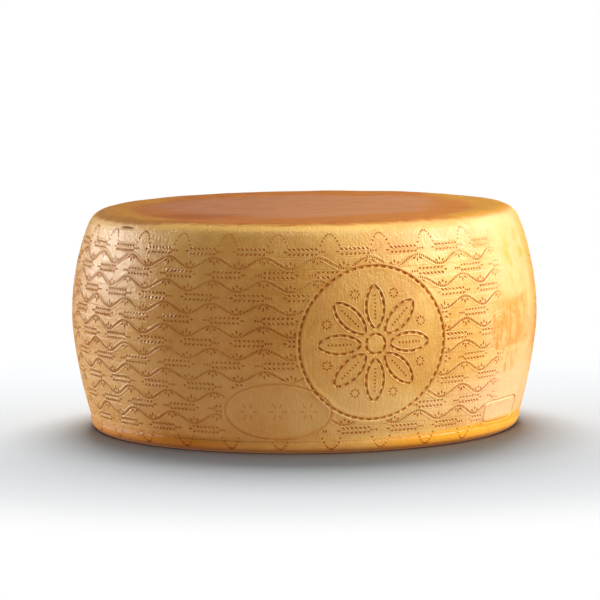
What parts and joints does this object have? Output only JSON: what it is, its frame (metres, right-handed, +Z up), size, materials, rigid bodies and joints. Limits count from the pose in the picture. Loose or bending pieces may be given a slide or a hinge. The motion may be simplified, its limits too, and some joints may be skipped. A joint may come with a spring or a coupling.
{
  "type": "whole wheel of aged hard cheese",
  "caption": "Whole wheel of aged hard cheese: a bulging waxy rind with pressed dotted marks round its side, a flat stained top and a flat base.",
  "frame": {"origin": "centre of the flat base", "axes": "+Z up along the wheel's axis; the side with the round pressed seal faces -Y, +X to the right of it"},
  "size_m": [0.4204, 0.4203, 0.1986],
  "materials": {
    "rind": "golden-brown waxy rind, satin"
  },
  "bodies": {
    "root": {"cheese_wheel": "rind"}
  },
  "joints": []
}
